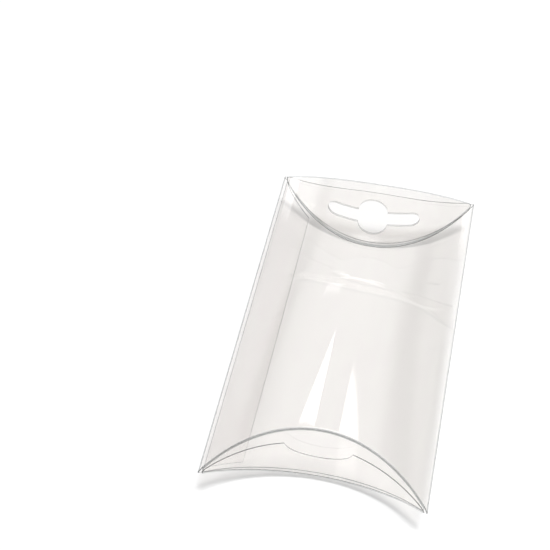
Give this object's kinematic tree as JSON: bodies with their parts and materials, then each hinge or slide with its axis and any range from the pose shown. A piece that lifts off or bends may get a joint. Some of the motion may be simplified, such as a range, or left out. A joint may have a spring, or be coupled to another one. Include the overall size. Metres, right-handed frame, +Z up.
{
  "type": "pillow box",
  "caption": "Clear pillow box folded from one plastic sheet, with bowed panels, curved hollow ends, a hang hole at one end and a thumb notch at the other.",
  "frame": {"origin": "under the middle of the box, on the surface that the belly of the lower panel rests on", "axes": "+X across the box, away from the glue seam; +Y along the box, towards the hang end; +Z up"},
  "size_m": [0.07, 0.134, 0.029],
  "materials": {
    "clear_film": "clear, glossy, calendered sheet"
  },
  "bodies": {
    "sleeve": {"sleeve": "clear_film"},
    "notch_flap": {"notch_flap": "clear_film"},
    "hang_flap": {"hang_flap": "clear_film"}
  },
  "joints": [
    {"name": "notch_flap_fold", "type": "hinge", "parent": "sleeve", "child": "notch_flap", "pos_m": [0, -0.0522, 0], "axis": [1, 0, 0], "range_deg": [0, 90]},
    {"name": "hang_flap_fold", "type": "hinge", "parent": "sleeve", "child": "hang_flap", "pos_m": [0, 0.0522, 0], "axis": [-1, 0, 0], "range_deg": [0, 90]}
  ]
}
